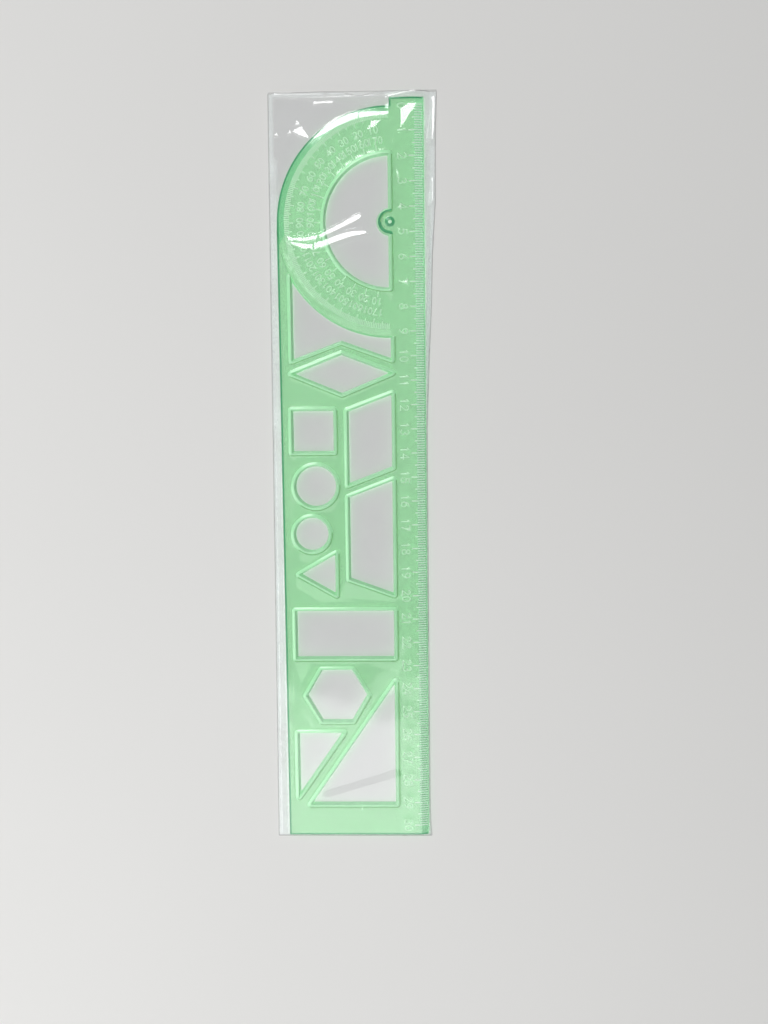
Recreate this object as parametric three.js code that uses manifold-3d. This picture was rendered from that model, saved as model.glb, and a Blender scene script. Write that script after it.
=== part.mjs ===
// A 30 cm drawing template in the clear film sleeve it is kept in.
//
// The template is one moulded plate: a graduated ruler bar down its right side, a protractor at its top
// end, and stencil openings between the bar and a narrow rail. The sleeve is a flat pouch of thin film,
// welded down both sides and across the bottom, with an open mouth at the protractor end. The plate
// slides in and out of that mouth.
//
// Millimetres. The part lies on its back: +X across the plate, +Y towards the protractor, +Z out of the
// marked face. The origin is under the middle of the sleeve, on the surface that it lies on.

import * as THREE from 'three';
import { mergeVertices } from 'three/addons/utils/BufferGeometryUtils.js';
import Module from 'manifold-3d';

const wasm = await Module();
wasm.setup();

// The plate. Its outlines are drawn in plate coordinates: x from its left edge, y up from the last
// line of the scale.
const SCALE_LENGTH = 300;
const PLATE_WIDTH = 60;
const PLATE_THICKNESS = 2;
const FOOT_MARGIN = 4.3; // plate below the scale
const HEAD_MARGIN = 3; // plate above the scale
const BAR_WIDTH = 13.5;
const RAIL_WIDTH = 4.3;

// The protractor.
const PROTRACTOR_RADIUS = 46;
const PROTRACTOR_CENTRE = new THREE.Vector2(46, 254);
const WINDOW_RADIUS = 27;
const BOSS_RADIUS = 4.8;
const PIVOT_RING_RADIUS = 2;
const PIVOT_HOLE_RADIUS = 0.8;
const PIVOT_SIDES = 24;

// The moulded details of the marked face.
const RIM_WIDTH = 0.8; // raised line round every opening
const RIM_HEIGHT = 0.3;
const BEVEL_DROP = 1; // how much thinner the plate is at a reading edge
const RULER_BEVEL_WIDTH = 4;
const PROTRACTOR_BEVEL_WIDTH = 3;

// The sleeve. Its film is drawn thicker than it is, so that it is a solid.
const SLEEVE_WIDTH = 68;
const SLEEVE_FOOT = 1; // sleeve below the plate
const SLEEVE_MOUTH = 2.7; // sleeve above the plate
const FILM = 0.3;
const GAP = 0.3; // between pieces that touch
const SLEEVE_DEPTH = 4.3; // clear height between the two films
const SIDE_ROOM = 0.5; // between the plate and the sleeve, each side

const ARC_STEP = 5; // degrees of arc to one facet
const CUT = 5; // how far a cutting solid runs past what it cuts

const barEdge = PLATE_WIDTH - BAR_WIDTH;
const plateFoot = -FOOT_MARGIN;
const plateHead = SCALE_LENGTH + HEAD_MARGIN;
const centre = PROTRACTOR_CENTRE;
const point = (x, y) => new THREE.Vector2(x, y);

// Outlines, each a counter-clockwise list of points.

function arc(middle, radius, from, to) {
  const steps = Math.max(1, Math.round(Math.abs(to - from) / ARC_STEP));
  const points = [];
  for (let i = 0; i <= steps; i += 1) {
    const angle = THREE.MathUtils.degToRad(from + ((to - from) * i) / steps);
    points.push(point(middle.x + radius * Math.cos(angle), middle.y + radius * Math.sin(angle)));
  }
  return points;
}

function rectangle(left, foot, right, head) {
  return [point(left, foot), point(right, foot), point(right, head), point(left, head)];
}

function regularPolygon(middle, radius, sides, first = 0) {
  const points = [];
  for (let i = 0; i < sides; i += 1) {
    const angle = THREE.MathUtils.degToRad(first + (360 * i) / sides);
    points.push(point(middle.x + radius * Math.cos(angle), middle.y + radius * Math.sin(angle)));
  }
  return points;
}

// The outline moved outwards by a distance, with its corners kept sharp.
function grown(outline, distance) {
  return outline.map((corner, i) => {
    const before = outline[(i + outline.length - 1) % outline.length];
    const after = outline[(i + 1) % outline.length];
    const arriving = corner.clone().sub(before).normalize();
    const leaving = after.clone().sub(corner).normalize();
    const out = point(arriving.y + leaving.y, -arriving.x - leaving.x).normalize();
    const lean = out.dot(point(arriving.y, -arriving.x));
    return corner.clone().addScaledVector(out, distance / lean);
  });
}

function plateOutline() {
  return [
    point(0, plateFoot),
    point(PLATE_WIDTH, plateFoot),
    point(PLATE_WIDTH, plateHead),
    point(centre.x, plateHead),
    ...arc(centre, PROTRACTOR_RADIUS, 90, 180),
  ];
}

// The D-shaped window of the protractor, with the boss of its centre point standing into it.
function windowOutline() {
  return [
    ...arc(centre, WINDOW_RADIUS, 90, 270),
    ...arc(centre, BOSS_RADIUS, 270, 90),
  ];
}

// The opening below the protractor, between its round edge, the rail, the bar and the chevron strip.
function sideWindowOutline() {
  const left = 5;
  const shoulder = 198;
  const peak = point(25.5, 205.6);
  const reach = centre.x - left;
  const tip = point(left, centre.y - Math.sqrt(PROTRACTOR_RADIUS ** 2 - reach ** 2));
  return [
    point(left, shoulder),
    peak,
    point(barEdge, shoulder),
    point(barEdge, centre.y - PROTRACTOR_RADIUS),
    ...arc(centre, PROTRACTOR_RADIUS, 270, 210),
    tip,
  ];
}

const stencils = {
  rhombus: [point(4.2, 193), point(25.5, 184.2), point(47, 193), point(25.5, 201.3)],
  parallelogram: [point(27.3, 146.5), point(barEdge, 153.8), point(barEdge, 185), point(27.3, 177.8)],
  square: rectangle(RAIL_WIDTH, 160.3, RAIL_WIDTH + 18, 178.3),
  largeCircle: regularPolygon(point(14, 146.3), 9, 32),
  smallCircle: regularPolygon(point(12, 126.2), 7.5, 32),
  triangle: regularPolygon(point(16.75, 109.2), 10.75, 3, 180),
  trapezoid: [point(27.3, 107), point(barEdge, 100), point(barEdge, 149.3), point(27.3, 142)],
  rectangle: rectangle(RAIL_WIDTH, 73, barEdge, 94),
  hexagon: regularPolygon(point(21.5, 57), 13.3, 6),
  smallSetSquare: [point(RAIL_WIDTH, 11.8), point(24.5, 41), point(RAIL_WIDTH, 41)],
  largeSetSquare: [point(9, 9), point(barEdge, 9), point(barEdge, 64)],
};

// Solids.

function solidOf(geometry) {
  const bare = geometry.index ? geometry.toNonIndexed() : geometry.clone();
  bare.deleteAttribute('normal');
  bare.deleteAttribute('uv');
  const merged = mergeVertices(bare, 1e-5);
  return new wasm.Manifold(new wasm.Mesh({
    numProp: 3,
    vertProperties: Float32Array.from(merged.attributes.position.array),
    triVerts: Uint32Array.from(merged.index.array),
  }));
}

function geometryOf(solid) {
  const mesh = solid.getMesh();
  const geometry = new THREE.BufferGeometry();
  geometry.setAttribute('position', new THREE.BufferAttribute(mesh.vertProperties, 3));
  geometry.setIndex(new THREE.BufferAttribute(mesh.triVerts, 1));
  geometry.computeVertexNormals();
  return geometry;
}

// An outline in the XY plane, extruded up from one height to another.
function upright(outline, low, high) {
  const shape = new THREE.Shape(outline);
  const geometry = new THREE.ExtrudeGeometry(shape, { depth: high - low, bevelEnabled: false });
  return geometry.translate(0, 0, low);
}

// An outline of across and up, extruded along Y from one place to another.
function alongY(outline, from, to) {
  const shape = new THREE.Shape(outline);
  const geometry = new THREE.ExtrudeGeometry(shape, { depth: to - from, bevelEnabled: false });
  return geometry.rotateX(Math.PI / 2).translate(0, to, 0);
}

// An outline of along and up, extruded along X from one place to another.
function alongX(outline, from, to) {
  return alongY(outline, -to, -from).rotateZ(Math.PI / 2);
}

// What the ruler's bevel takes off the right edge.
function rulerBevel() {
  const slope = BEVEL_DROP / RULER_BEVEL_WIDTH;
  const inner = PLATE_WIDTH - RULER_BEVEL_WIDTH;
  const outer = PLATE_WIDTH + CUT;
  const outline = [
    point(inner, PLATE_THICKNESS),
    point(outer, PLATE_THICKNESS - slope * (outer - inner)),
    point(outer, PLATE_THICKNESS + CUT),
    point(inner, PLATE_THICKNESS + CUT),
  ];
  return solidOf(alongY(outline, plateFoot - CUT, plateHead + CUT));
}

// What the protractor's bevel takes off its round edge, from the bar round to the bar again.
function protractorBevel() {
  const slope = BEVEL_DROP / PROTRACTOR_BEVEL_WIDTH;
  const inner = PROTRACTOR_RADIUS - PROTRACTOR_BEVEL_WIDTH;
  const outer = PROTRACTOR_RADIUS + 0.05;
  const profile = [
    point(inner, PLATE_THICKNESS),
    point(outer, PLATE_THICKNESS - slope * (outer - inner)),
    point(outer, PLATE_THICKNESS + CUT),
    point(inner, PLATE_THICKNESS + CUT),
    point(inner, PLATE_THICKNESS),
  ];
  const ring = new THREE.LatheGeometry(profile, 360 / ARC_STEP);
  ring.rotateX(Math.PI / 2).translate(centre.x, centre.y, 0);
  const reach = PROTRACTOR_RADIUS + CUT;
  const half = rectangle(centre.x - reach, centre.y - reach, centre.x, centre.y + reach);
  return solidOf(ring).intersect(solidOf(upright(half, -CUT, 2 * CUT)));
}

function templatePlate() {
  const top = PLATE_THICKNESS + RIM_HEIGHT;
  const disc = regularPolygon(centre, PROTRACTOR_RADIUS, 360 / ARC_STEP);
  const ring = regularPolygon(centre, PIVOT_RING_RADIUS, PIVOT_SIDES);
  const hole = regularPolygon(centre, PIVOT_HOLE_RADIUS, PIVOT_SIDES);
  const rimmed = (outline) => solidOf(upright(grown(outline, RIM_WIDTH), 0, top));
  const cutter = (outline) => solidOf(upright(outline, -CUT, top + CUT));

  let plate = solidOf(upright(plateOutline(), 0, PLATE_THICKNESS));
  plate = plate.subtract(rulerBevel()).subtract(protractorBevel());
  plate = plate.add(rimmed(sideWindowOutline()).subtract(cutter(disc)));
  plate = plate.add(rimmed(windowOutline()));
  for (const outline of Object.values(stencils)) {
    plate = plate.add(rimmed(outline));
  }
  for (const outline of [sideWindowOutline(), windowOutline(), ...Object.values(stencils)]) {
    plate = plate.subtract(cutter(outline));
  }
  plate = plate.add(solidOf(upright(ring, 0, top)));
  return geometryOf(plate.subtract(cutter(hole)));
}

// The sleeve. Its two films lie flat, one under the plate and one above it. Down each side and across
// the foot, a folded edge steps down from the front film to the weld, which lies on the back film.

const plateRest = FILM + GAP;
const frontRest = FILM + SLEEVE_DEPTH;
const sleeveLeft = (PLATE_WIDTH - SLEEVE_WIDTH) / 2;
const sleeveRight = (PLATE_WIDTH + SLEEVE_WIDTH) / 2;
const sleeveFoot = plateFoot - SLEEVE_FOOT;
const sleeveHead = plateHead + SLEEVE_MOUTH;

// The section of a folded edge: a weld lying flat, and a wall standing at its inner end.
function foldedEdge(weldEnd, wallFace) {
  const back = wallFace - FILM;
  return [
    point(weldEnd, plateRest),
    point(wallFace, plateRest),
    point(wallFace, frontRest - GAP),
    point(back, frontRest - GAP),
    point(back, plateRest + FILM),
    point(weldEnd, plateRest + FILM),
  ];
}

function mirrored(outline) {
  return outline.map((corner) => point(PLATE_WIDTH - corner.x, corner.y)).reverse();
}

const sideFold = foldedEdge(sleeveLeft, -SIDE_ROOM);
const footFold = foldedEdge(sleeveFoot, plateFoot - GAP);
const foldBack = -SIDE_ROOM - FILM;

const backFilm = upright(rectangle(sleeveLeft, sleeveFoot, sleeveRight, sleeveHead), 0, FILM);
const frontOutline = rectangle(foldBack, sleeveFoot, PLATE_WIDTH - foldBack, sleeveHead);
const frontFilm = upright(frontOutline, frontRest, frontRest + FILM);
const leftEdge = alongY(sideFold, sleeveFoot, sleeveHead);
const rightEdge = alongY(mirrored(sideFold), sleeveFoot, sleeveHead);
const footEdge = alongX(footFold, GAP - SIDE_ROOM, PLATE_WIDTH + SIDE_ROOM - GAP);

// The assembly.

const greenPlastic = new THREE.MeshStandardMaterial({
  color: 0x9bd7a5,
  roughness: 0.15,
  metalness: 0,
  transparent: true,
  opacity: 0.8,
});

const clearFilm = new THREE.MeshStandardMaterial({
  color: 0xe9efec,
  roughness: 0.1,
  metalness: 0,
  transparent: true,
  opacity: 0.3,
});

function piece(name, geometry, material) {
  const mesh = new THREE.Mesh(geometry, material);
  mesh.name = name;
  return mesh;
}

const plate = piece('template_plate', templatePlate(), greenPlastic);
plate.position.z = plateRest;

const sleeve = new THREE.Group();
sleeve.add(piece('sleeve_back_film', backFilm, clearFilm));
sleeve.add(piece('sleeve_front_film', frontFilm, clearFilm));
sleeve.add(piece('sleeve_left_edge', leftEdge, clearFilm));
sleeve.add(piece('sleeve_right_edge', rightEdge, clearFilm));
sleeve.add(piece('sleeve_foot_edge', footEdge, clearFilm));

const flat = new THREE.Group();
flat.add(plate, sleeve);
flat.position.set(-PLATE_WIDTH / 2, -(sleeveFoot + sleeveHead) / 2, 0);

const sleevedTemplate = new THREE.Group();
sleevedTemplate.add(flat);

export default sleevedTemplate;
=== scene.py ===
"""The looks of a protractor stencil ruler, a see-through green moulding, in its clear film sleeve.

Shapes are worked out in plate millimetres: x from the plate's left edge, y up from the last line of the
scale, z up from the plate's underside. They are put into the row frame, in metres, by to_row().
"""

import math

import bpy
import numpy as np
from mathutils import Matrix, Vector
from mathutils.geometry import delaunay_2d_cdt

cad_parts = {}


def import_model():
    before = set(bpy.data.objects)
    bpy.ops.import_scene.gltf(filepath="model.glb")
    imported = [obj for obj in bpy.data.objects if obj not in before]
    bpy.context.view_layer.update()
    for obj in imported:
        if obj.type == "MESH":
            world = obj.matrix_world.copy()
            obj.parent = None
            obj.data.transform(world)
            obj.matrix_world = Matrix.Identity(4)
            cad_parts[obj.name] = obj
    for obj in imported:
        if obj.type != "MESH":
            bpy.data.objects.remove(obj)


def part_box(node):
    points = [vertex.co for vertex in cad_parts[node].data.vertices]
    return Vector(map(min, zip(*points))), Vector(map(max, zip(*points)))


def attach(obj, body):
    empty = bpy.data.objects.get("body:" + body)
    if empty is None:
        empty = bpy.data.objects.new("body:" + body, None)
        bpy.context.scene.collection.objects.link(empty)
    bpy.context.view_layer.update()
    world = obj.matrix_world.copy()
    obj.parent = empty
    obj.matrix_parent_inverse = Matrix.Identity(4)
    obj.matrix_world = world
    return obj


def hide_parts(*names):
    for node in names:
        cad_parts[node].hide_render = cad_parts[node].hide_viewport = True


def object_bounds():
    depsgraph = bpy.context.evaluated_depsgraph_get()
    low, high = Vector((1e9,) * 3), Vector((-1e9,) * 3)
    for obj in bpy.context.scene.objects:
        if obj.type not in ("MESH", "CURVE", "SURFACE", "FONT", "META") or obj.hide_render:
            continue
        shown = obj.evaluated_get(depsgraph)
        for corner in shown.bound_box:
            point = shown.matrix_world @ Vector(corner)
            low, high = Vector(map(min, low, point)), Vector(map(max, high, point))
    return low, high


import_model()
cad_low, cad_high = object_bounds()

MM = 0.001

# The plate.
SCALE_LENGTH = 300
PLATE_WIDTH = 60.0
PLATE_THICKNESS = 2.0
FOOT_MARGIN = 4.3
HEAD_MARGIN = 3.0
BAR_EDGE = 46.5
RAIL_EDGE = 4.3

# The protractor.
CENTRE = np.array([46.0, 254.0])
PROTRACTOR_RADIUS = 46.0
WINDOW_RADIUS = 27.0
BOSS_RADIUS = 4.8
PIVOT_RADIUS = 0.8

# Moulded relief. The lips are wider and higher than the solid's.
WALL_TAPER = 0.75
RIM_WIDTH = 1.25
RIM_HEIGHT = 0.5
PIVOT_RIM_WIDTH = 1.2
RIM_STEPS = 6
RULER_BEVEL = 4.0
PROTRACTOR_BEVEL = 3.0
BEVEL_DROP = 1.0
EDGE_ROUND = 0.4
# EDGE_BAND is also the width of the painted dark shade along the plate's outline.
EDGE_BAND = 0.8
EDGE_STEPS = (0.12, 0.25, EDGE_ROUND, EDGE_BAND)
CORNER_RADIUS = 0.35
MARK_HEIGHT = 0.14
MARK_SLOPE = 0.09
TICK_HALF_WIDTH = 0.19
STROKE_HALF_WIDTH = 0.2

plate_low, plate_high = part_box("template_plate")
ORIGIN = np.array([plate_low.x, plate_low.y + FOOT_MARGIN * MM, plate_low.z])
FLOOR_Z = (cad_low.z - plate_low.z) / MM


def to_row(points):
    """Plate millimetres as row-frame metres."""
    return np.asarray(points, float) * MM + ORIGIN


# Camera ----------------------------------------------------------------------------------------------

CAMERA_PLACE = (63.6, 213.6, 578.3)
CAMERA_AIM = (42.2, 135.5, 2.0)
CAMERA_UP = (0.0073, 0.9909, -0.1345)
CAMERA_LENS_MM = 49.2
CAMERA_SENSOR_MM = 36.0


def add_camera():
    place, aim = (Vector(to_row(p)) for p in (CAMERA_PLACE, CAMERA_AIM))
    back = (place - aim).normalized()
    right = Vector(CAMERA_UP).cross(back).normalized()
    up = back.cross(right)
    data = bpy.data.cameras.new("camera")
    data.sensor_fit = "VERTICAL"
    data.sensor_height = CAMERA_SENSOR_MM
    data.lens = CAMERA_LENS_MM
    camera = bpy.data.objects.new("camera", data)
    camera.matrix_world = Matrix.Translation(place) @ Matrix((right, up, back)).transposed().to_4x4()
    bpy.context.scene.collection.objects.link(camera)
    bpy.context.scene.camera = camera


add_camera()


# Materials -------------------------------------------------------------------------------------------


class Nodes:
    """A short way to build one material's node tree."""

    def __init__(self, name):
        self.material = bpy.data.materials.new(name)
        self.material.use_nodes = True
        self.tree = self.material.node_tree
        self.tree.nodes.clear()
        self.output = self.add("ShaderNodeOutputMaterial")

    def add(self, kind, **values):
        """A node of this kind, with settings by their Python names and sockets by theirs."""
        node = self.tree.nodes.new(kind)
        for name, value in values.items():
            if hasattr(node, name):
                setattr(node, name, value)
            else:
                self.feed(node, name.replace("_", " ").title(), value)
        return node

    def feed(self, node, socket, value):
        """Sets a socket, or links it to another node's output."""
        into = node.inputs[socket]
        if isinstance(value, bpy.types.NodeSocket):
            self.tree.links.new(value, into)
        else:
            into.default_value = value

    def noise(self, scale, detail=2.0, roughness=0.5):
        """Noise over the piece's own coordinates, in features per metre."""
        place = self.add("ShaderNodeTexCoord")
        node = self.add("ShaderNodeTexNoise", scale=scale, detail=detail, roughness=roughness)
        self.tree.links.new(place.outputs["Object"], node.inputs["Vector"])
        return node.outputs["Fac"]

    def ramp(self, value, low, high, low_colour, high_colour):
        """A colour that goes from low_colour to high_colour as value goes from low to high."""
        node = self.add("ShaderNodeValToRGB")
        node.color_ramp.elements[0].position = low
        node.color_ramp.elements[0].color = (*low_colour, 1.0)
        node.color_ramp.elements[1].position = high
        node.color_ramp.elements[1].color = (*high_colour, 1.0)
        self.tree.links.new(value, node.inputs["Fac"])
        return node.outputs["Color"]

    def bump(self, height, strength, distance):
        node = self.add("ShaderNodeBump")
        node.inputs["Strength"].default_value = strength
        node.inputs["Distance"].default_value = distance
        self.tree.links.new(height, node.inputs["Height"])
        return node.outputs["Normal"]

    def mix(self, factor, first, second):
        node = self.add("ShaderNodeMixShader")
        self.feed(node, 0, factor)
        self.tree.links.new(first, node.inputs[1])
        self.tree.links.new(second, node.inputs[2])
        return node.outputs[0]

    def two_sided_fresnel(self, head_on):
        """The share of light that a thin film reflects, the same from both sides: Schlick's formula."""
        weight = self.add("ShaderNodeLayerWeight", blend=0.5)
        power = self.add("ShaderNodeMath", operation="POWER")
        self.tree.links.new(weight.outputs["Facing"], power.inputs[0])
        power.inputs[1].default_value = 5.0
        share = self.add("ShaderNodeMath", operation="MULTIPLY_ADD")
        self.tree.links.new(power.outputs[0], share.inputs[0])
        share.inputs[1].default_value = 1 - head_on
        share.inputs[2].default_value = head_on
        return share.outputs[0]

    def finish(self, surface):
        self.tree.links.new(surface, self.output.inputs["Surface"])
        return self.material


PLASTIC_IOR = 1.57
FILM_REFLECTANCE = 0.065  # the share of light that the film reflects head on


def green_plastic(name, tint, variation, roughness, shadow_tint, clearness):
    """Clear tinted moulded plastic. Rays from lamps pass through it, a little tinted."""
    n = Nodes(name)
    colour = n.ramp(n.noise(22.0, 3.0), 0.3, 0.7, tint, variation)
    body = n.add("ShaderNodeBsdfPrincipled")
    n.feed(body, "Base Color", colour)
    n.feed(body, "Roughness", roughness)
    n.feed(body, "IOR", PLASTIC_IOR)
    n.feed(body, "Transmission Weight", clearness)
    n.feed(body, "Normal", n.bump(n.noise(160.0, 3.0), 0.12, 0.0003))
    shade = n.add("ShaderNodeBsdfTransparent")
    n.feed(shade, "Color", (*shadow_tint, 1.0))
    path = n.add("ShaderNodeLightPath")
    return n.finish(n.mix(path.outputs["Is Shadow Ray"], body.outputs[0], shade.outputs[0]))


def film_material(name, haze, milk_colour, roughness):
    """Thin clear film: what is behind shows straight through, with a faint haze and glossy folds."""
    n = Nodes(name)
    clear = n.add("ShaderNodeBsdfTransparent")
    n.feed(clear, "Color", (0.96, 0.963, 0.966, 1.0))
    milk = n.add("ShaderNodeBsdfDiffuse")
    n.feed(milk, "Color", (*milk_colour, 1.0))
    shine = n.add("ShaderNodeBsdfGlossy")
    n.feed(shine, "Roughness", roughness)
    n.feed(shine, "Normal", n.bump(n.noise(90.0, 2.0), 0.12, 0.0003))
    cloud = n.add("ShaderNodeMapRange", to_min=-0.6 * haze, to_max=3.2 * haze)
    n.tree.links.new(n.noise(70.0, 4.0, 0.6), cloud.inputs["Value"])
    body = n.mix(cloud.outputs["Result"], clear.outputs[0], milk.outputs[0])
    seen = n.mix(n.two_sided_fresnel(FILM_REFLECTANCE), body, shine.outputs[0])
    return n.finish(n.mix(n.add("ShaderNodeLightPath").outputs["Is Shadow Ray"], seen, clear.outputs[0]))


# Flat shapes -----------------------------------------------------------------------------------------


def arc(centre, radius, start, end, step=2.5):
    """Points on a circle from one angle to another, in degrees."""
    steps = max(1, round(abs(end - start) / step))
    angles = np.radians(np.linspace(start, end, steps + 1))
    return np.column_stack([centre[0] + radius * np.cos(angles), centre[1] + radius * np.sin(angles)])


def circle(centre, radius, sides, first=0):
    return arc(centre, radius, first, first + 360, 360 / sides)[:-1]


def polygon(*corners):
    return np.array(corners, float)


def rectangle(left, foot, right, head):
    return polygon((left, foot), (right, foot), (right, head), (left, head))


def turned(points, angle, origin=(0, 0)):
    """Points turned about the zero point by an angle in degrees, then moved to origin."""
    c, s = math.cos(math.radians(angle)), math.sin(math.radians(angle))
    return np.asarray(points, float) @ np.array([[c, s], [-s, c]]) + origin


def directions(outline):
    """The unit directions of the edges that arrive at and leave each corner."""
    leaving = np.roll(outline, -1, axis=0) - outline
    leaving /= np.linalg.norm(leaving, axis=1, keepdims=True)
    return np.roll(leaving, 1, axis=0), leaving


def grown(outline, distance):
    """A counter-clockwise outline moved outwards by a distance."""
    arriving, leaving = directions(outline)
    out = np.column_stack([arriving[:, 1] + leaving[:, 1], -arriving[:, 0] - leaving[:, 0]])
    out /= np.linalg.norm(out, axis=1, keepdims=True)
    lean = out[:, 0] * arriving[:, 1] - out[:, 1] * arriving[:, 0]
    return outline + out * (distance / lean)[:, None]


def softened(outline, radius=CORNER_RADIUS, steps=4):
    """The outline with its sharp outward corners rounded, as a mould has them."""
    arriving, leaving = directions(outline)
    reach = np.linalg.norm(np.roll(outline, -1, axis=0) - outline, axis=1)
    points = []
    for i, corner in enumerate(outline):
        cross = arriving[i, 0] * leaving[i, 1] - arriving[i, 1] * leaving[i, 0]
        turn = math.degrees(math.atan2(cross, arriving[i] @ leaving[i]))
        if turn < 20:
            points.append(corner)
            continue
        back = min(radius * math.tan(math.radians(turn / 2)), 0.4 * reach[i], 0.4 * reach[i - 1])
        first, last = corner - back * arriving[i], corner + back * leaving[i]
        for t in np.linspace(0, 1, steps + 1):
            points.append((1 - t) ** 2 * first + 2 * t * (1 - t) * corner + t**2 * last)
    return np.array(points)


def within(outline, points):
    """Which points lie inside an outline."""
    inside = np.zeros(len(points), bool)
    x, y = points.T
    for (x0, y0), (x1, y1) in zip(outline, np.roll(outline, -1, axis=0)):
        if y0 != y1:
            inside ^= ((y0 > y) != (y1 > y)) & (x < (x1 - x0) * (y - y0) / (y1 - y0) + x0)
    return inside


def distance_to(line, points, closed=False):
    """The distance from each point to a line of straight pieces."""
    ends = np.roll(line, -1, axis=0) if closed else line[1:]
    starts = line if closed else line[:-1]
    nearest = np.full(len(points), np.inf)
    for start, end in zip(starts, ends):
        along = end - start
        t = np.clip((points - start) @ along / max(along @ along, 1e-12), 0, 1)
        nearest = np.minimum(nearest, np.linalg.norm(points - start - t[:, None] * along, axis=1))
    return nearest


# The plate's outline and openings --------------------------------------------------------------------

plate_outline = np.vstack([
    polygon((0, -FOOT_MARGIN), (PLATE_WIDTH, -FOOT_MARGIN)),
    polygon((PLATE_WIDTH, SCALE_LENGTH + HEAD_MARGIN), (CENTRE[0], SCALE_LENGTH + HEAD_MARGIN)),
    arc(CENTRE, PROTRACTOR_RADIUS, 90, 180),
])

window = np.vstack([
    arc(CENTRE, WINDOW_RADIUS, 90, 270),
    arc(CENTRE, BOSS_RADIUS, 270, 90, 7.5),
])

SIDE_LEFT, SIDE_SHOULDER, SIDE_PEAK = 5.0, 198.0, (25.5, 205.6)
side_rise = math.degrees(math.acos((CENTRE[0] - SIDE_LEFT) / PROTRACTOR_RADIUS))
side_window = np.vstack([
    polygon((SIDE_LEFT, SIDE_SHOULDER), SIDE_PEAK, (BAR_EDGE, SIDE_SHOULDER)),
    polygon((BAR_EDGE, CENTRE[1] - PROTRACTOR_RADIUS)),
    arc(CENTRE, PROTRACTOR_RADIUS, 270, 180 + side_rise),
])

stencils = (
    polygon((4.2, 193), (25.5, 184.2), (47, 193), (25.5, 201.3)),
    polygon((27.3, 146.5), (BAR_EDGE, 153.8), (BAR_EDGE, 185), (27.3, 177.8)),
    rectangle(RAIL_EDGE, 160.3, 22.3, 178.3),
    circle((14, 146.3), 9.0, 72),
    circle((12, 126.2), 7.5, 72),
    circle((16.75, 109.2), 10.75, 3, 180),
    polygon((27.3, 107), (BAR_EDGE, 100), (BAR_EDGE, 149.3), (27.3, 142)),
    rectangle(RAIL_EDGE, 73, BAR_EDGE, 94),
    circle((21.5, 57), 13.3, 6),
    polygon((RAIL_EDGE, 11.8), (24.5, 41), (RAIL_EDGE, 41)),
    polygon((9, 9), (BAR_EDGE, 9), (BAR_EDGE, 64)),
)
pivot_hole = circle(CENTRE, PIVOT_RADIUS, 24)

# The openings narrow towards the paper, so that a pencil's point follows their lower edge.
tapered = (window, side_window, *stencils)
openings = [*(softened(shape) for shape in tapered), pivot_hole]
opening_feet = [*(softened(grown(shape, -WALL_TAPER)) for shape in tapered), pivot_hole]
SIDE_WINDOW = 1
PIVOT_HOLE = len(openings) - 1


# Graduations -----------------------------------------------------------------------------------------

TICK_END = 59.2
BAR_TICKS = {10: 5.2, 5: 3.7, 1: 2.8}
DEGREE_TICKS = {10: 3.4, 5: 2.6, 1: 1.8}
DEGREE_TICK_END = PROTRACTOR_RADIUS - PROTRACTOR_BEVEL - 0.1
INNER_TICKS = (WINDOW_RADIUS + RIM_WIDTH + 0.3, WINDOW_RADIUS + 3.4)


def tick_length(number, lengths):
    return next(length for every, length in lengths.items() if number % every == 0)


def bar_ticks():
    """(start, end) of every millimetre line on the bar."""
    for i in range(SCALE_LENGTH + 1):
        yield (TICK_END - tick_length(i, BAR_TICKS), i), (TICK_END, i)


def degree_ticks():
    """(start, end) of every degree line, and of the short lines at the window."""
    for degree in range(1, 180):
        outward = turned([(1, 0)], 90 + degree)[0]
        length = tick_length(degree, DEGREE_TICKS)
        yield CENTRE + outward * (DEGREE_TICK_END - length), CENTRE + outward * DEGREE_TICK_END
        if degree % 10 == 0:
            yield CENTRE + outward * INNER_TICKS[0], CENTRE + outward * INNER_TICKS[1]


# Each digit is drawn in a box 0.6 wide and 1 high, as a list of lines. The last point of a ring is its
# first again.
RING_STEP = 20
tail_of_six = arc((0, 0), 1.0, 180, 105, 15) * (0.58, 0.66) + (0.6, 0.34)
ring_of_six = arc((0, 0), 1.0, 0, 360, RING_STEP) * (0.28, 0.3) + (0.3, 0.3)
DIGITS = {
    "0": [arc((0, 0), 1.0, 0, 360, RING_STEP) * (0.28, 0.5) + (0.3, 0.5)],
    "1": [polygon((0.3, 0), (0.3, 1), (0.12, 0.8))],
    "2": [np.vstack([arc((0.29, 0.72), 0.28, 165, -35, 20), polygon((0.02, 0), (0.6, 0))])],
    "3": [
        arc((0, 0), 1.0, 150, -80, 20) * (0.26, 0.25) + (0.28, 0.75),
        arc((0, 0), 1.0, 80, -150, 20) * (0.3, 0.27) + (0.28, 0.27),
    ],
    "4": [polygon((0.44, 0), (0.44, 1), (0, 0.3), (0.62, 0.3))],
    "5": [np.vstack([
        polygon((0.54, 1), (0.1, 1), (0.05, 0.56)),
        arc((0, 0), 1.0, 120, -150, 20) * (0.31, 0.31) + (0.27, 0.31),
    ])],
    "6": [tail_of_six, ring_of_six],
    "7": [polygon((0, 1), (0.58, 1), (0.2, 0))],
    "8": [
        arc((0, 0), 1.0, 0, 360, RING_STEP) * (0.24, 0.23) + (0.3, 0.77),
        arc((0, 0), 1.0, 0, 360, RING_STEP) * (0.29, 0.27) + (0.3, 0.27),
    ],
    "9": [(0.6, 1.0) - tail_of_six, (0.6, 1.0) - ring_of_six],
}
DIGIT_PITCH = 0.82
BAR_DIGIT_HEIGHT = 3.4
BAR_DIGIT_FOOT = 49.5
DEGREE_DIGIT_HEIGHT = 2.6
OUTER_DIGIT_FOOT = 35.3
INNER_DIGIT_FOOT = 31.0


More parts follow.
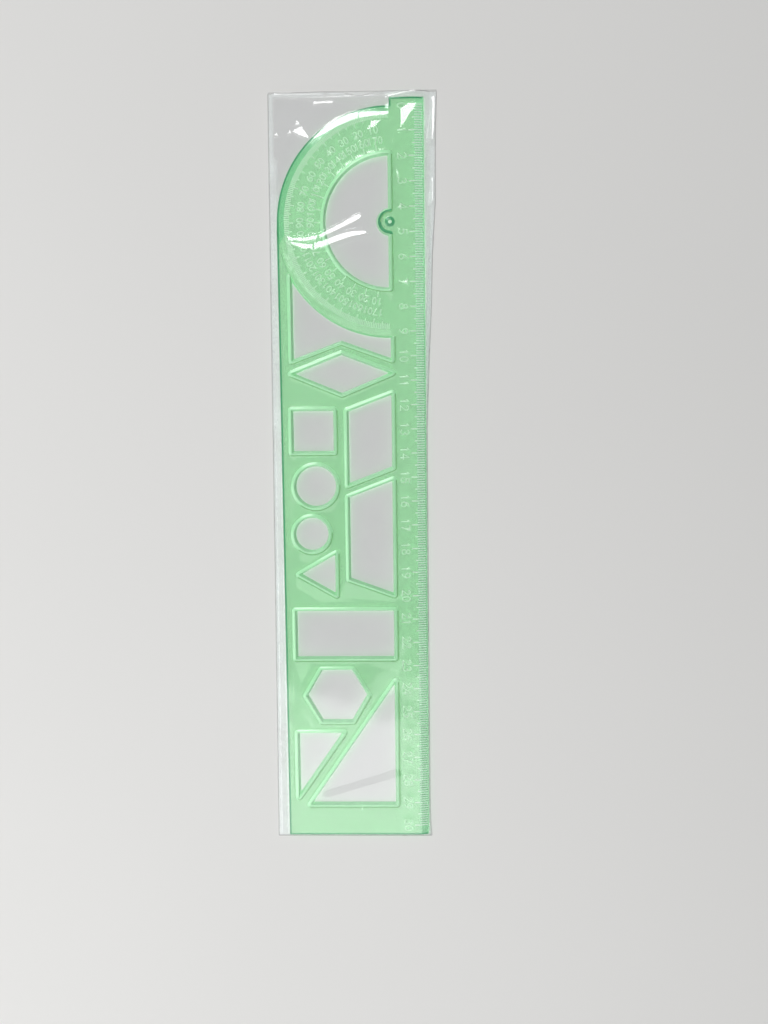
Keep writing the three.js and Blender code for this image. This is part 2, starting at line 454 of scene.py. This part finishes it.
def numeral(text, foot, upward, height):
    """The strokes of a number centred on foot, with the tops of its digits towards upward, in degrees."""
    width = DIGIT_PITCH * (len(text) - 1) + 0.6
    for i, digit in enumerate(text):
        for stroke in DIGITS[digit]:
            yield turned((stroke + (i * DIGIT_PITCH - width / 2, 0)) * height, upward - 90, foot)


def numeral_strokes():
    """Every stroke: centimetres down the bar from the protractor end, and two rows of degrees."""
    for value in range(SCALE_LENGTH // 10 + 1):
        foot = (BAR_DIGIT_FOOT, min(SCALE_LENGTH - 10 * value, SCALE_LENGTH - 0.5))
        yield from numeral(str(value), foot, 0, BAR_DIGIT_HEIGHT)
    for degree in range(10, 180, 10):
        outward = turned([(1, 0)], 90 + degree)[0]
        for value, foot in ((degree, OUTER_DIGIT_FOOT), (180 - degree, INNER_DIGIT_FOOT)):
            yield from numeral(str(value), CENTRE + outward * foot, 90 + degree, DEGREE_DIGIT_HEIGHT)


def ribbon(line, half_width):
    """The outlines of a line drawn with a pen of this half width: one if it is open, two if it is a ring."""
    if np.allclose(line[0], line[-1]):
        loop = line[:-1]
        return [grown(loop, half_width), grown(loop, -half_width)]
    along = np.diff(line, axis=0)
    along /= np.linalg.norm(along, axis=1, keepdims=True)
    first, last = along[0] * half_width, along[-1] * half_width
    arriving, leaving = np.vstack([along[:1], along]), np.vstack([along, along[-1:]])
    side = np.column_stack([-(arriving + leaving)[:, 1], (arriving + leaving)[:, 0]])
    side /= np.linalg.norm(side, axis=1, keepdims=True)
    lean = np.maximum(side[:, 1] * arriving[:, 0] - side[:, 0] * arriving[:, 1], 0.5)
    side *= (half_width / lean)[:, None]
    left, right = line + side, line - side
    left[0], right[0] = left[0] - first, right[0] - first
    left[-1], right[-1] = left[-1] + last, right[-1] + last
    return [np.vstack([right, left[::-1]])]


# The plate's marked face is a height at every place. Its triangles have edges wherever the height bends.

marks = [(np.array([start, end]), TICK_HALF_WIDTH) for start, end in (*bar_ticks(), *degree_ticks())]
marks += [(stroke, STROKE_HALF_WIDTH) for stroke in numeral_strokes()]
GATE_NICK = np.array([(31.3, 6.6), (31.3, 8.1)])
marks.append((GATE_NICK, TICK_HALF_WIDTH))


def rim_width(number):
    return PIVOT_RIM_WIDTH if number == PIVOT_HOLE else RIM_WIDTH


def rim_height(distance, width):
    """The section of the raised lip round an opening: highest at the opening, and rounded outwards."""
    return RIM_HEIGHT * (1 - np.clip(distance / width, 0, 1) ** 2)


def base_height(points):
    """The plate without its relief: flat, with a bevel at each reading edge."""
    x, y = points.T
    height = np.full(len(points), PLATE_THICKNESS)
    height -= BEVEL_DROP * np.clip((x - PLATE_WIDTH + RULER_BEVEL) / RULER_BEVEL, 0, 1)
    radius = np.hypot(x - CENTRE[0], y - CENTRE[1])
    band = (x < CENTRE[0] + 0.01) & (radius < PROTRACTOR_RADIUS + 0.02)
    inner = PROTRACTOR_RADIUS - PROTRACTOR_BEVEL
    height -= np.where(band, BEVEL_DROP * np.clip((radius - inner) / PROTRACTOR_BEVEL, 0, 1), 0)
    return height


def relief(points):
    """How far the rims and the marks stand above the base, and which points are on a mark."""
    x, y = points.T
    rims = np.zeros(len(points))
    radius = np.hypot(x - CENTRE[0], y - CENTRE[1])
    for number, opening in enumerate(openings):
        width = rim_width(number)
        low, high = opening.min(0) - width, opening.max(0) + width
        near = np.flatnonzero(((points > low) & (points < high)).all(1))
        lip = rim_height(distance_to(opening, points[near], closed=True), width)
        if number == SIDE_WINDOW:
            lip *= np.clip((radius[near] - PROTRACTOR_RADIUS) / 0.3, 0, 1)
        rims[near] = np.maximum(rims[near], lip)
    raised = np.zeros(len(points))
    order = np.argsort(y)
    sorted_y = y[order]
    for line, half_width in marks:
        low, high = line.min(0) - half_width, line.max(0) + half_width
        near = order[np.searchsorted(sorted_y, low[1]):np.searchsorted(sorted_y, high[1])]
        near = near[(x[near] > low[0]) & (x[near] < high[0])]
        rise = np.clip((half_width - distance_to(line, points[near])) / MARK_SLOPE, 0, 1)
        raised[near] = np.maximum(raised[near], MARK_HEIGHT * rise)
    return rims, raised


def creases():
    """Closed outlines along which the marked face bends."""
    yield plate_outline
    for distance in EDGE_STEPS:
        yield grown(plate_outline, -distance)
    for number, opening in enumerate(openings):
        yield opening
        for distance in np.linspace(0, rim_width(number), RIM_STEPS + 1)[1:]:
            yield grown(opening, distance)
    for line, half_width in marks:
        yield from ribbon(line, half_width)
        yield from ribbon(line, half_width - MARK_SLOPE)


def open_creases():
    """Open lines along which the marked face bends: the bevels and the bar's shoulder."""
    head, foot = SCALE_LENGTH + HEAD_MARGIN, -FOOT_MARGIN
    yield polygon((PLATE_WIDTH - RULER_BEVEL, foot), (PLATE_WIDTH - RULER_BEVEL, head))
    yield arc(CENTRE, PROTRACTOR_RADIUS - PROTRACTOR_BEVEL, 90, 270)
    yield arc(CENTRE, PROTRACTOR_RADIUS, 90, 270)
    yield arc(CENTRE, PROTRACTOR_RADIUS + 0.15, 180, 210)
    for side in (0, 0.12):
        x = CENTRE[0] + side
        reach = PROTRACTOR_RADIUS + HEAD_MARGIN
        yield polygon((x, CENTRE[1] + WINDOW_RADIUS), (x, CENTRE[1] + reach))
        yield polygon((x, CENTRE[1] - reach), (x, CENTRE[1] - WINDOW_RADIUS))


def triangulated(loops, lines=()):
    """Triangles over the plate, with an edge along every loop and line."""
    points, edges = [], []
    for shape, closed in [(loop, True) for loop in loops] + [(line, False) for line in lines]:
        first = len(points)
        points.extend(Vector(p) for p in shape)
        edges.extend((first + i, first + i + 1) for i in range(len(shape) - 1))
        if closed:
            edges.append((len(points) - 1, first))
    flat, _, faces, *_ = delaunay_2d_cdt(points, edges, [], 0, 1e-5, False)
    flat, faces = np.array(flat, float), np.array(faces)
    middle = flat[faces].mean(1)
    kept = within(plate_outline, middle)
    for opening in openings:
        kept &= ~within(opening, middle)
    return flat, faces[kept]


def add_piece(name, points, faces, materials, face_materials=None, sharp_angle=38):
    """A mesh object from plate millimetres, smooth but for its sharp edges."""
    mesh = bpy.data.meshes.new(name)
    mesh.from_pydata(to_row(points).tolist(), [], [list(map(int, face)) for face in faces])
    for material in materials:
        mesh.materials.append(material)
    if face_materials is not None:
        mesh.polygons.foreach_set("material_index", np.asarray(face_materials, np.int32))
    mesh.polygons.foreach_set("use_smooth", np.ones(len(faces), bool))
    mesh.set_sharp_from_angle(angle=math.radians(sharp_angle))
    mesh.validate()
    piece = bpy.data.objects.new(name, mesh)
    bpy.context.scene.collection.objects.link(piece)
    return piece


# The moulded plate -----------------------------------------------------------------------------------


def boundary_edges(faces):
    """The edges that only one triangle has, each in its triangle's direction."""
    edges = np.vstack([faces[:, [0, 1]], faces[:, [1, 2]], faces[:, [2, 0]]])
    known = set(map(tuple, edges.tolist()))
    return [(a, b) for a, b in known if (b, a) not in known]


def counter_clockwise(flat, faces):
    a, b, c = (flat[faces[:, i]] for i in range(3))
    area = (b[:, 0] - a[:, 0]) * (c[:, 1] - a[:, 1]) - (b[:, 1] - a[:, 1]) * (c[:, 0] - a[:, 0])
    return np.where((area > 0)[:, None], faces, faces[:, ::-1])


def foot_of(points):
    """Where the plate's wall reaches its underside, below each point of its upper edge."""
    feet = points.copy()
    nearest = np.full(len(points), 0.01)
    for upper, lower in zip(openings, opening_feet):
        for i in range(len(upper)):
            start, along = upper[i - 1], upper[i] - upper[i - 1]
            t = np.clip((points - start) @ along / (along @ along), 0, 1)[:, None]
            distance = np.linalg.norm(points - start - t * along, axis=1)
            closer = distance < nearest
            nearest[closer] = distance[closer]
            feet[closer] = (lower[i - 1] + t * (lower[i] - lower[i - 1]))[closer]
    return feet


def underside(feet, edges):
    """Triangles over the flat back, between the feet of the walls, facing down."""
    _, _, faces, known, *_ = delaunay_2d_cdt([Vector(p) for p in feet], edges, [], 0, 1e-5, True)
    faces = np.array([[known[i][0] for i in face] for face in faces])
    middle = feet[faces].mean(1)
    kept = within(plate_outline, middle)
    for opening in opening_feet:
        kept &= ~within(opening, middle)
    return counter_clockwise(feet, faces[kept])[:, ::-1]


BODY, RIM, MARK, WALL, BEVEL, PAINTED_EDGE_SHADE, FROSTED, TICK, PAINTED_LIP_SHADE = range(9)
PAINTED_SHADE_WAY = np.array([0.45, -0.89])  # away from the key light, across the plate: the side where the lips' shade is painted
PAINTED_SHADE_FROM = 0.66  # where the painted shade on a lip's foot begins, as a share of the lip's width
BOSS_SHADE_BAND = 2.0  # how far the painted dark edge shade reaches round the boss


def base_material(points):
    """The plate's materials without its relief: deeper green on the protractor's bevel, a painted dark shade
    along its edges but the right one, frosted on the ruler.
    """
    x, y = points.T
    radius = np.hypot(x - CENTRE[0], y - CENTRE[1])
    kinds = np.full(len(points), BODY)
    on_arc = (x < CENTRE[0]) & (y > CENTRE[1] - 6)
    kinds[on_arc & (radius > PROTRACTOR_RADIUS - PROTRACTOR_BEVEL)] = BEVEL
    kinds[x > PLATE_WIDTH - RULER_BEVEL] = FROSTED
    # Painted shade: a dark green line along the outline stands in for the darkening at the edge of the clear
    # plastic; the right edge is left out.
    in_edge_shade = distance_to(plate_outline, points, closed=True) < EDGE_BAND
    kinds[in_edge_shade & (x < PLATE_WIDTH - 1)] = PAINTED_EDGE_SHADE
    return kinds


def on_shaded_foot(points):
    """Which points lie on the foot of a lip on its side away from the key light, where the lip's shade is
    painted in a deeper green.
    """
    shaded = np.zeros(len(points), bool)
    for opening in openings[:PIVOT_HOLE]:
        low, high = opening.min(0) - RIM_WIDTH, opening.max(0) + RIM_WIDTH
        near = np.flatnonzero(((points > low) & (points < high)).all(1))
        distance = distance_to(opening, points[near], closed=True)
        step = 0.05
        growth = distance_to(opening, points[near] + step * PAINTED_SHADE_WAY, closed=True) - distance
        at_foot = (distance > PAINTED_SHADE_FROM * RIM_WIDTH) & (distance < RIM_WIDTH)
        shaded[near] |= at_foot & (growth > 0.4 * step)
    return shaded


def marked_face_materials(middle):
    """The material of every triangle of the marked face, from its middle."""
    kinds = base_material(middle)
    on_rim, on_mark = relief(middle)
    kinds[on_rim > 0] = RIM
    # Painted shade: a dark green ring round the boss.
    kinds[(on_rim > 0) & (np.hypot(*(middle - CENTRE).T) < BOSS_RADIUS + BOSS_SHADE_BAND)] = PAINTED_EDGE_SHADE
    # Painted shade: a deeper green on each lip's foot on the side away from the key light.
    kinds[on_shaded_foot(middle)] = PAINTED_LIP_SHADE
    kinds[on_mark > 0] = MARK
    kinds[(on_mark > 0) & (middle[:, 0] > TICK_END - BAR_TICKS[10])] = TICK
    return kinds


def moulded_plate():
    """The plate: its marked face, the walls of its edge and openings, and its flat back."""
    flat, faces = triangulated(creases(), open_creases())
    faces = counter_clockwise(flat, faces)
    used = np.unique(faces)
    renumber = np.full(len(flat), -1)
    renumber[used] = np.arange(len(used))
    flat, faces = flat[used], renumber[faces]
    rims, raised = relief(flat)
    inward = np.clip(EDGE_ROUND - distance_to(plate_outline, flat, closed=True), 0, EDGE_ROUND)
    edge_fall = EDGE_ROUND - np.sqrt(EDGE_ROUND**2 - inward**2)
    top = np.column_stack([flat, base_height(flat) + rims + raised - edge_fall])
    edges = boundary_edges(faces)
    corners = sorted({i for edge in edges for i in edge})
    number = {corner: k for k, corner in enumerate(corners)}
    feet = foot_of(flat[corners])
    back = underside(feet, [(number[a], number[b]) for a, b in edges]) + len(top)
    walls = [(a, len(top) + number[a], len(top) + number[b], b) for a, b in edges]
    points = np.vstack([top, np.column_stack([feet, np.zeros(len(feet))])])
    surface = marked_face_materials(flat[faces].mean(1))
    kinds = [*surface, *([WALL] * len(walls)), *([BODY] * len(back))]
    piece = add_piece(
        "moulded_plate", points, [*faces.tolist(), *walls, *back.tolist()], plate_materials, kinds
    )
    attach(piece, "template")
    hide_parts("template_plate")
    return piece


SHADE = (0.88, 1.0, 0.9)
plate_materials = [
    green_plastic("green_body", (0.5, 0.78, 0.53), (0.47, 0.75, 0.5), 0.12, SHADE, 0.75),
    green_plastic("green_rims", (0.49, 0.9, 0.54), (0.46, 0.88, 0.52), 0.14, SHADE, 0.2),
    green_plastic("green_marks", (0.74, 0.97, 0.77), (0.71, 0.96, 0.74), 0.14, SHADE, 0.25),
    green_plastic("green_walls", (0.4, 0.78, 0.46), (0.37, 0.76, 0.43), 0.25, SHADE, 0.3),
    green_plastic("green_bevel", (0.27, 0.66, 0.38), (0.24, 0.63, 0.35), 0.14, SHADE, 0.7),
    # Painted shade: the dark green of the plate's outline and of the ring round the boss.
    green_plastic("green_painted_edge_shade", (0.05, 0.34, 0.16), (0.04, 0.32, 0.14), 0.14, SHADE, 0.5),
    green_plastic("green_frosted", (0.42, 0.78, 0.53), (0.39, 0.76, 0.5), 0.2, SHADE, 0.75),
    green_plastic("green_ticks", (0.86, 0.99, 0.88), (0.83, 0.98, 0.85), 0.2, SHADE, 0.05),
    # Painted shade: the deeper green of the lips' feet on the side away from the key light.
    green_plastic("green_painted_lip_shade", (0.24, 0.52, 0.22), (0.22, 0.5, 0.2), 0.14, SHADE, 0.4),
]
moulded_plate()


# The sleeve ------------------------------------------------------------------------------------------

LEFT_FOOT, LEFT_MOUTH = -4.9, -2.6
FOOT_Y, MOUTH_Y = -5.3, 305.8
RIGHT_EDGE = polygon(
    (-6, 61.0), (2, 60.5), (12, 60.3), (170, 60.3), (200, 61.5), (220, 62.5), (240, 63.0),
    (262, 64.4), (290, 64.6), (307, 65.2),
)
FLAT_RIGHT = 64.6
BACK_FILM_Z = -0.42
FRONT_FILM_Z = 2.66
WELD_Z = -0.25
BEAD_Z = WELD_Z - 0.08
BEAD_HEIGHT = 0.22
FILM_HEAD = 306.0  # where the front film's grid ends before its mouth is shaped
MOUTH_FROM = 290.0  # from here up the grid is drawn out to the mouth line


def smooth(low, high, value):
    t = np.clip((value - low) / (high - low), 0, 1)
    return t * t * (3 - 2 * t)


def left_edge(y):
    return LEFT_FOOT + (LEFT_MOUTH - LEFT_FOOT) * (y - FOOT_Y) / (MOUTH_Y - FOOT_Y)


def right_edge(y):
    return np.interp(y, *RIGHT_EDGE.T)


def waves(x, y, seed, length, count=14):
    """Gentle unevenness: a sum of plane waves, from -1 to 1 or so."""
    rng = np.random.default_rng(seed)
    total = np.zeros_like(x)
    for _ in range(count):
        angle, phase = rng.uniform(0, 2 * math.pi, 2)
        k = 2 * math.pi / (length * rng.uniform(0.6, 1.8))
        total += np.sin(k * (x * math.cos(angle) + y * math.sin(angle)) + phase)
    return total / math.sqrt(count)


# The front film's creases: each is a flat facet between sharp folds, tilted so that it mirrors the key
# light into the camera. Its values are the direction it faces, in degrees, its slope, how far its low
# edge stands off the film, and its corners.
FACETS = (
    # The crescent along the protractor's outer edge.
    (118, 0.29, 0.1, polygon(
        (14.2, 286.0), (20, 288.4), (25, 291.1), (30, 293.2), (34, 294.4), (34, 297.2), (30, 296.8),
        (25, 295.0), (20, 292.0),
    )),
    (117, 0.29, 0.6, polygon(
        (34, 294.4), (40, 295.0), (46.4, 295.6), (46.4, 297.4), (40, 297.4), (34, 297.2),
    )),
    # The streak and the patches beside the crescent's end.
    (120, 0.29, 0.1, polygon((36.6, 289.8), (40.2, 291.1), (44.2, 294.4), (43.6, 295.4), (39.6, 294.2))),
    (124, 0.29, 0.1, polygon((50.6, 289.8), (54.8, 296.0), (58.6, 301.1), (54, 300.2), (50.6, 297.8))),
    (117, 0.29, 0.1, polygon((44.1, 297.8), (46.2, 297.6), (46.3, 300.4), (44.9, 299.7))),
    # The lower swoosh across the protractor and its window, in two parts, then the upper one.
    (106, 0.33, 0.1, polygon(
        (3.6, 247.2), (5, 246.0), (8, 244.4), (11, 243.4), (15, 243.1), (15, 245.8), (11, 245.8),
        (8, 246.5), (5, 247.8),
    )),
    (109, 0.33, 1.4, polygon(
        (15, 243.0), (20, 244.3), (25, 246.3), (30, 247.8), (37.8, 249.2), (36, 250.7), (31, 250.6),
        (25, 249.3), (20, 247.3), (15, 246.0),
    )),
    (106, 0.33, 0.1, polygon(
        (4.0, 248.7), (4.6, 246.9), (8, 246.6), (12, 246.5), (17, 247.0), (17, 249.3), (12, 248.4),
        (8, 248.3),
    )),
    (112, 0.33, 0.3, polygon(
        (17, 247.0), (20, 248.6), (25, 250.8), (30, 253.1), (34.6, 255.5), (34.2, 257.6), (31, 256.4),
        (27, 254.3), (22, 251.7), (17, 249.3),
    )),
    # Small ones over the empty corner and at the mouth.
    (117, 0.28, 0.1, polygon(
        (7.2, 289.9), (10.6, 288.0), (14.4, 286.7), (13.4, 288.9), (11.3, 292.0), (9.5, 291.1),
    )),
    (117, 0.28, 0.1, polygon((8.0, 292.2), (9.2, 292.7), (10.5, 292.1), (10.2, 293.6), (8.7, 293.6))),
    (117, 0.28, 0.1, polygon((-0.2, 288.1), (2.0, 288.2), (1.2, 289.4), (-0.2, 289.3))),
    (117, 0.28, 0.1, polygon((5.0, 288.7), (6.9, 288.8), (6.7, 290.4))),
    (114, 0.28, 0.1, polygon((15.6, 300.3), (23.9, 300.5), (24.1, 301.5), (16.2, 301.6))),
    (114, 0.28, 0.1, polygon(
        (43, 302.0), (47, 303.0), (53, 304.2), (59, 305.0), (59, 305.8), (53, 305.1), (47, 304.0),
        (43, 302.8),
    )),
    (114, 0.28, 0.1, polygon((6, 302.9), (26, 302.5), (42, 302.8), (42, 303.4), (26, 303.1), (6, 303.5))),
    (114, 0.28, 0.1, polygon((0, 304.1), (20, 303.6), (20, 304.1), (0, 304.7))),
)

# The same in the right margin, where the film lies off the plate.
MARGIN_FACETS = (
    (127, 0.3, 0.0, polygon((62.8, 286), (64.0, 286), (64.9, 303), (63.4, 303))),
    (127, 0.3, 0.0, polygon((62.6, 261), (63.7, 262), (64.0, 272), (62.9, 271))),
)
FACET_SIDE_SLOPE = 1.8
FACET_REACH = 2.5  # how far a facet's sides are followed beyond its corners

RIDGE = polygon((17, 12.5), (46, 21.5))
RIDGE_HEIGHT = 0.5
RIDGE_WIDTH = 2.0


def ridge_heights(x, y):
    """A soft ridge in the film over the largest triangle."""
    points = np.column_stack([x, y])
    near = np.flatnonzero(y < 40)
    lift = np.zeros(len(points))
    lift[near] = RIDGE_HEIGHT * np.exp(-((distance_to(RIDGE, points[near]) / RIDGE_WIDTH) ** 2))
    return lift


def crease_heights(x, y, facets):
    """How far the creases lift the front film."""
    points = np.column_stack([x, y])
    lift = np.zeros(len(points))
    for facing, slope, stand_off, corners in facets:
        downhill = turned([(1, 0)], facing)[0]
        low, high = corners.min(0) - FACET_REACH, corners.max(0) + FACET_REACH
        near = np.flatnonzero(((points > low) & (points < high)).all(1))
        height = stand_off + slope * ((corners @ downhill).max() - points[near] @ downhill)
        away = np.where(within(corners, points[near]), 0, distance_to(corners, points[near], closed=True))
        lift[near] = np.maximum(lift[near], height - FACET_SIDE_SLOPE * away)
    return lift


def front_film_height(x, y):
    """The front film: down to the weld at its edges, and lying on the plate between them."""
    over = smooth(left_edge(y) + 0.8, 0.2, x) * smooth(FOOT_Y + 0.1, -4.4, y)
    margin = right_edge(y) - PLATE_WIDTH
    over *= 1 - smooth(0.02, 0.96, (x - PLATE_WIDTH) / np.minimum(margin, 2.6))
    rest = FRONT_FILM_Z - 0.75 * smooth(56.5, 60.2, x) + 0.08 * (1 + waves(x, y, 5, 26.0)) * (x < 57)
    mouth = 0.3 * smooth(300, 306, y) * (1 + waves(x, y, 8, 20.0)) * smooth(58, 50, x)
    crinkle = 0.02 * smooth(262, 290, y) * (2 + waves(x, y, 9, 7.0))
    wrinkles = mouth + crinkle + ridge_heights(x, y) + crease_heights(x, y, FACETS)
    return WELD_Z + over * (rest - WELD_Z + wrinkles) + crease_heights(x, y, MARGIN_FACETS)


def grid_faces(rows, columns):
    index = np.arange(rows * columns).reshape(rows, columns)
    return np.stack([index[:-1, :-1], index[:-1, 1:], index[1:, 1:], index[1:, :-1]], -1).reshape(-1, 4)


def film_piece(name, points, rows, columns, node):
    faces = grid_faces(rows, columns)
    x, y, _ = points[faces].mean(1).T
    kinds = np.where((x < -0.2) | (x > PLATE_WIDTH + 0.3), 1, 0)
    kinds[y > 303.7] = 1
    kinds[-(columns - 1):] = 2
    piece = add_piece(name, points, faces, [film, film_margin, film_edge], kinds, sharp_angle=80)
    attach(piece, "sleeve")
    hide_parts(node)
    return piece


def mouth_line(x):
    """The front film's free edge, which dips in the middle."""
    return MOUTH_Y - 0.5 - 2.3 * np.exp(-(((x - 34.5) / 5) ** 2))


def front_film():
    """The front film's grid, finest where its creases are."""
    up = np.concatenate([
        np.linspace(FOOT_Y, 8, 20), np.linspace(8.6, 34, 50), np.linspace(38, 238, 46),
        np.linspace(240, 305.6, 232), [FILM_HEAD],
    ])
    across = np.linspace(0, PLATE_WIDTH, 240)
    left = left_edge(up)[:, None] * np.linspace(1, 0, 11)[:-1]
    right = PLATE_WIDTH + (right_edge(up)[:, None] - PLATE_WIDTH) * np.linspace(0, 1, 13)[1:]
    x = np.hstack([left, np.repeat(across[None], len(up), 0), right])
    rows, columns = x.shape
    y = np.repeat(up[:, None], columns, 1)
    stretch = (mouth_line(x) - MOUTH_FROM) / (FILM_HEAD - MOUTH_FROM)
    y = np.where(y > MOUTH_FROM, MOUTH_FROM + (y - MOUTH_FROM) * stretch, y)
    z = front_film_height(x.ravel(), y.ravel())
    return film_piece(
        "front_film", np.column_stack([x.ravel(), y.ravel(), z]), rows, columns, "sleeve_front_film"
    )


def back_film():
    """The back film, which turns under at its right edge as far as the sleeve is wider than it lies."""
    up = np.append(np.linspace(FOOT_Y, MOUTH_Y - 0.4, 160), MOUTH_Y)
    across = np.linspace(0, 1, 40)
    left, right = left_edge(up)[:, None], right_edge(up)[:, None]
    x = left + (right - left) * across
    fold = len(across)
    turn = np.linspace(0, math.pi, 7)[1:]
    under = np.maximum(FLAT_RIGHT - right, 0.02)
    x = np.hstack([x, right + 0.06 * np.sin(turn), right - under * np.linspace(0, 1, 8)[1:]])
    y = np.repeat(up[:, None], x.shape[1], 1)
    z = BACK_FILM_Z + 0.05 * waves(x, y, 3, 30.0)
    folded = fold + len(turn)
    z[:, fold:folded] -= 0.05 * (1 - np.cos(turn))
    z[:, folded:] -= 0.1
    rows, columns = x.shape
    return film_piece(
        "back_film", np.column_stack([x.ravel(), y.ravel(), z.ravel()]), rows, columns, "sleeve_back_film"
    )


def weld_bead(name, path, width, node):
    """A thin flattened bead where the two films are joined."""
    along = np.gradient(path, axis=0)
    along /= np.linalg.norm(along, axis=1, keepdims=True)
    side = np.column_stack([-along[:, 1], along[:, 0], np.zeros(len(path))])
    turn = np.linspace(0, 2 * math.pi, 9)[:-1]
    ring = width / 2 * np.cos(turn)[None, :, None] * side[:, None] + path[:, None]
    ring[:, :, 2] += BEAD_HEIGHT / 2 * np.sin(turn)
    sides = len(turn)
    points = ring.reshape(-1, 3)
    faces = []
    for i in range(len(path) - 1):
        for k in range(sides):
            a, b = i * sides + k, i * sides + (k + 1) % sides
            faces.append((a, b, b + sides, a + sides))
    last = (len(path) - 1) * sides
    faces.append(tuple(range(sides))[::-1])
    faces.append(tuple(range(last, last + sides)))
    piece = add_piece(name, points, faces, [film_edge], sharp_angle=70)
    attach(piece, "sleeve")
    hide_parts(node)
    return piece


film = film_material("clear_film", 0.02, (0.86, 0.88, 0.9), 0.1)
film_margin = film_material("film_margin", 0.14, (0.82, 0.88, 0.87), 0.2)
film_edge = film_material("film_weld", 0.6, (0.5, 0.5, 0.49), 0.3)
front_film()
back_film()

side_y = np.linspace(FOOT_Y, MOUTH_Y - 0.6, 220)
for side, edge in (("left", left_edge), ("right", right_edge)):
    bead = np.column_stack([edge(side_y), side_y, np.full(len(side_y), BEAD_Z)])
    weld_bead(f"{side}_weld", bead, 0.5, f"sleeve_{side}_edge")
foot_x = np.linspace(left_edge(FOOT_Y), right_edge(FOOT_Y), 60)
foot_bead = np.column_stack([foot_x, np.full(len(foot_x), FOOT_Y), np.full(len(foot_x), BEAD_Z)])
weld_bead("foot_weld", foot_bead, 0.6, "sleeve_foot_edge")


# The room --------------------------------------------------------------------------------------------


def floor():
    n = Nodes("pale_floor")
    body = n.add("ShaderNodeBsdfPrincipled")
    paper = n.ramp(n.noise(3.0, 2.0), 0.3, 0.7, (0.7, 0.695, 0.68), (0.72, 0.715, 0.7))
    n.feed(body, "Base Color", paper)
    n.feed(body, "Roughness", 0.8)
    material = n.finish(body.outputs[0])
    half = 6000
    sheet = rectangle(-half, -half, half, half)
    corners = np.column_stack([sheet, np.full(4, FLOOR_Z - 0.02)])
    stage = add_piece("floor", corners, [(0, 1, 2, 3)], [material])


def softbox(name, place, aim, size, power):
    data = bpy.data.lights.new(name, "AREA")
    data.shape = "SQUARE"
    data.size = size
    data.energy = power
    lamp = bpy.data.objects.new(name, data)
    lamp.visible_transmission = False
    place, aim = Vector(to_row(place)), Vector(to_row(aim))
    lamp.location = place
    lamp.rotation_euler = (place - aim).to_track_quat("Z", "Y").to_euler()
    bpy.context.scene.collection.objects.link(lamp)


def world(strength):
    room = bpy.data.worlds.new("room")
    room.use_nodes = True
    background = room.node_tree.nodes["Background"]
    background.inputs["Color"].default_value = (0.95, 0.97, 1.0, 1.0)
    background.inputs["Strength"].default_value = strength
    bpy.context.scene.world = room


floor()

# Each lamp: where it hangs, what it faces, its width in metres and its power in watts.
softbox("key_light", (-695, 1708, 1848), (25, 200, 0), 1.0, 41.0)
softbox("side_light", (-700, -150, 480), (30, 150, 0), 0.5, 2.9)
softbox("overhead_card", (-20, -560, 800), (-20, -560, 0), 0.8, 3.9)
world(0.14)
bpy.context.scene.view_settings.view_transform = "Standard"
